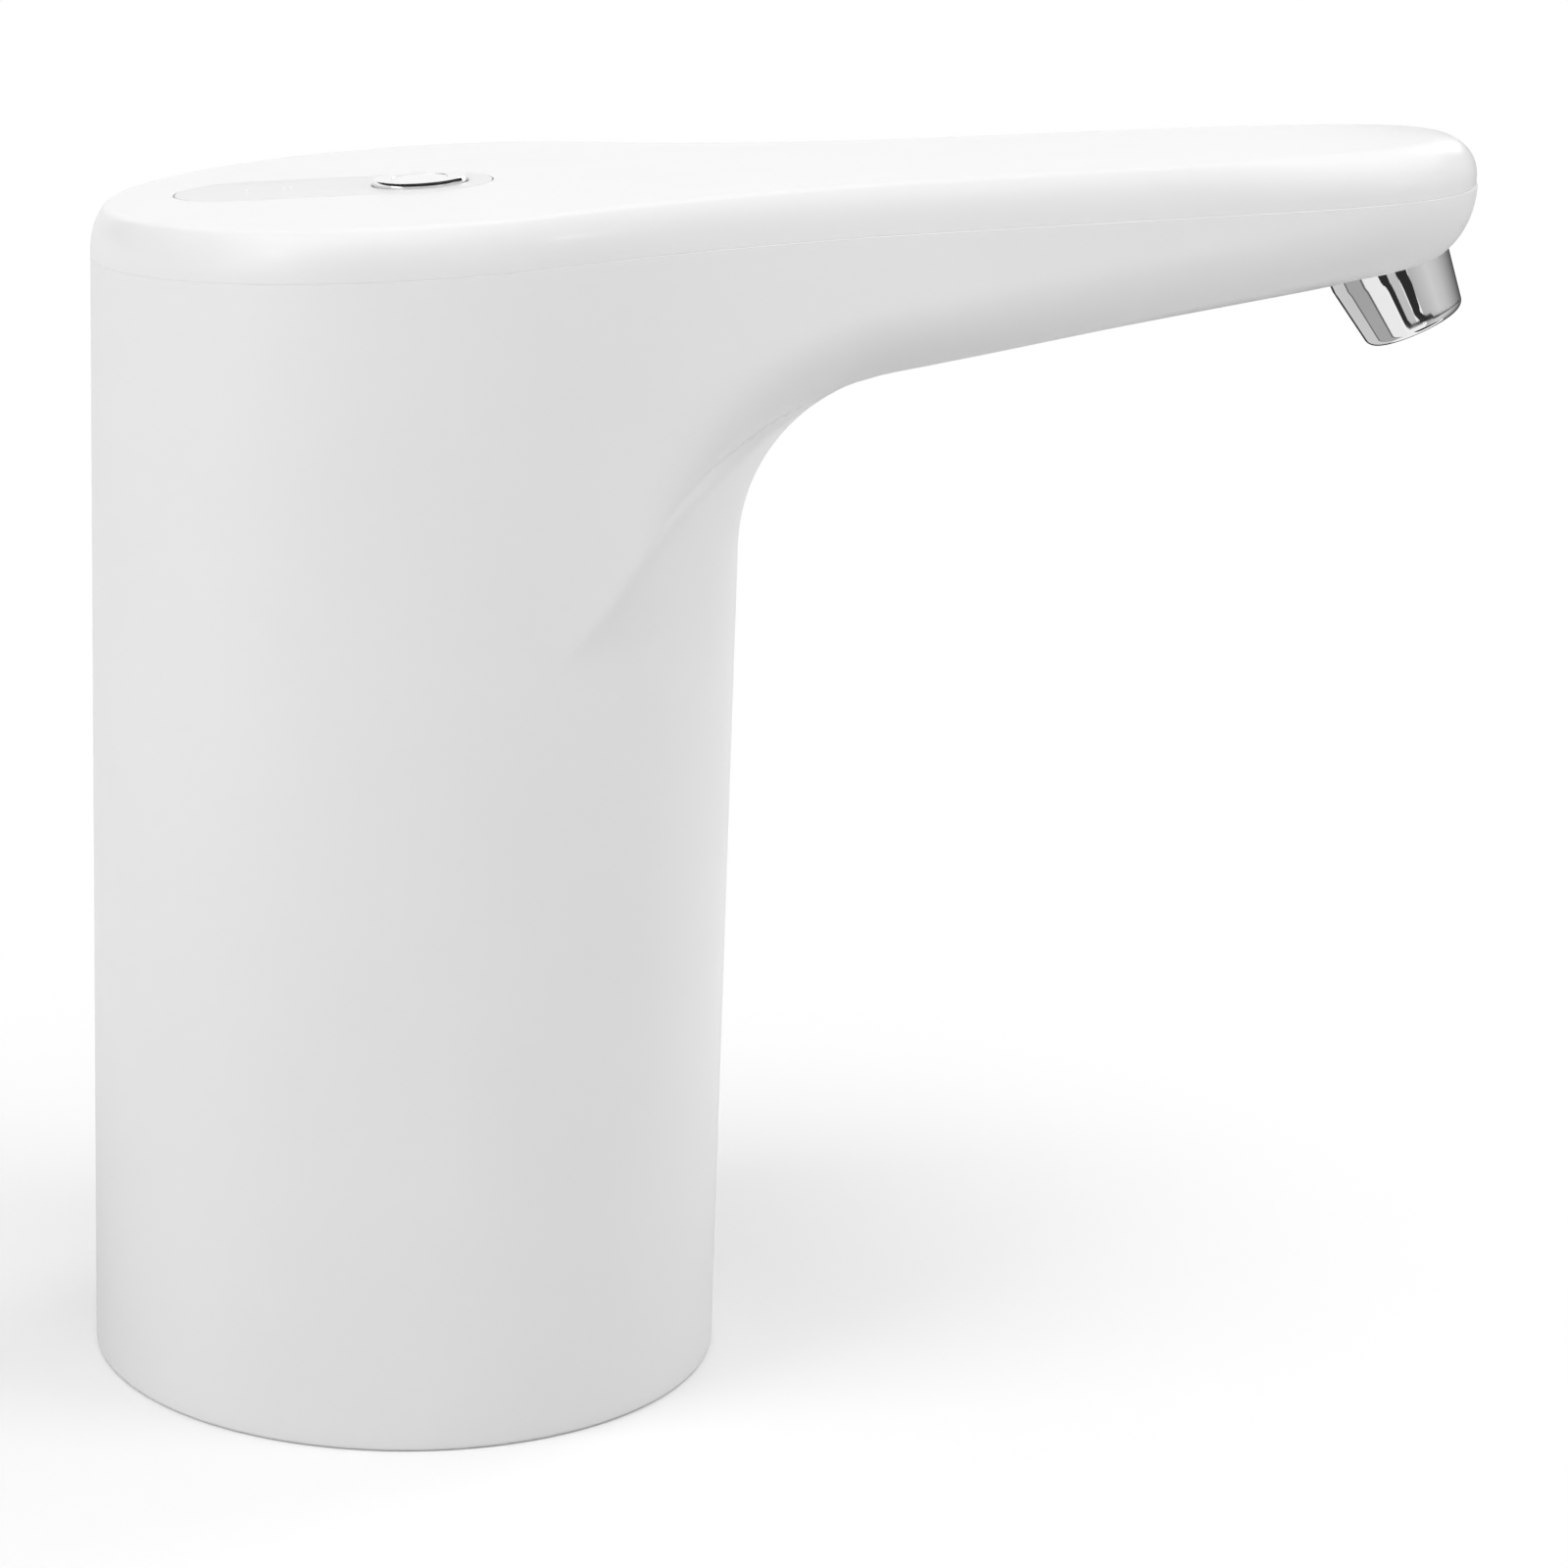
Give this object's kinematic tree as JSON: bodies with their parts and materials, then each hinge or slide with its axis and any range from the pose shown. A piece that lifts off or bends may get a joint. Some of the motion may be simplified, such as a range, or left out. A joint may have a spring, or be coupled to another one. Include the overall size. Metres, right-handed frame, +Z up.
{
  "type": "electric water jug pump",
  "caption": "Battery pump that stands over a water jug neck: white round body, flat spout with a leaning bright nozzle, push button on an oval panel.",
  "frame": {"origin": "on the neck axis, at the base rim the body stands on", "axes": "+Z up along the neck axis, +X towards the tip of the spout, +Y to the left of the spout seen from behind"},
  "size_m": [0.143, 0.068, 0.1365],
  "materials": {
    "shell_white": "satin moulded white",
    "cover_white": "satin moulded white",
    "panel_grey": "smooth pale grey",
    "button_white": "smooth pale grey",
    "bright_chrome": "polished",
    "lens_clear": "frosted clear",
    "board_green": "solder-masked laminate",
    "screw_steel": "plated",
    "switch_black": "matt",
    "led_white": "clear resin",
    "socket_steel": "drawn",
    "cell_wrap": "shrink sleeve",
    "inner_plastic": "moulded",
    "can_steel": "drawn and plated",
    "contact_brass": "plain",
    "magnet_dark": "sintered",
    "core_steel": "laminated",
    "gear_plastic": "natural acetal",
    "seal_black": "moulded",
    "hose_silicone": "translucent",
    "seal_silicone": "matt moulded"
  },
  "bodies": {
    "housing": {"body_shell": "shell_white", "top_cover": "cover_white", "control_panel": "panel_grey", "indicator_lenses": "lens_clear", "circuit_board": "board_green", "board_screws": "screw_steel", "tact_switch": "switch_black", "indicator_leds": "led_white", "charging_socket": "socket_steel", "battery_cell": "cell_wrap", "battery_cradle": "inner_plastic", "cradle_screws": "screw_steel", "motor_can": "can_steel", "motor_end_cap": "inner_plastic", "motor_terminals": "contact_brass", "motor_bushes": "contact_brass", "motor_magnets": "magnet_dark", "motor_brushes": "magnet_dark", "motor_screws": "screw_steel", "idler_pin": "screw_steel", "pump_housing": "inner_plastic", "pump_cover": "inner_plastic", "pump_gasket": "seal_black", "shaft_seal": "seal_black", "inlet_ring": "seal_black", "outlet_hose": "hose_silicone", "outlet_elbow": "inner_plastic", "nozzle": "bright_chrome", "nozzle_ring": "seal_black", "base_plate": "inner_plastic", "base_screws": "screw_steel", "pump_screws": "screw_steel", "neck_seal": "seal_silicone"},
    "button": {"power_button": "button_white", "button_ring": "bright_chrome", "switch_plunger": "switch_black"},
    "rotor": {"motor_shaft": "screw_steel", "motor_armature": "core_steel", "motor_commutator": "contact_brass", "drive_gear": "gear_plastic"},
    "idler": {"driven_gear": "gear_plastic"}
  },
  "joints": [
    {"name": "button_press", "type": "slide", "parent": "housing", "child": "button", "axis": [0.0854, 0, -0.9963], "range_m": [0, 0.0004], "stiffness_N_per_m": 2500},
    {"name": "rotor_spin", "type": "hinge", "parent": "housing", "child": "rotor", "pos_m": [0.0063, -0.0054, 0.0446], "axis": [0, 0, 1], "continuous": true},
    {"name": "idler_spin", "type": "hinge", "parent": "housing", "child": "idler", "pos_m": [0.0063, 0.0054, 0.0446], "axis": [0, 0, 1], "continuous": true}
  ],
  "couplings": [
    {"joint": "idler_spin", "follows": "rotor_spin", "ratio": -1}
  ]
}
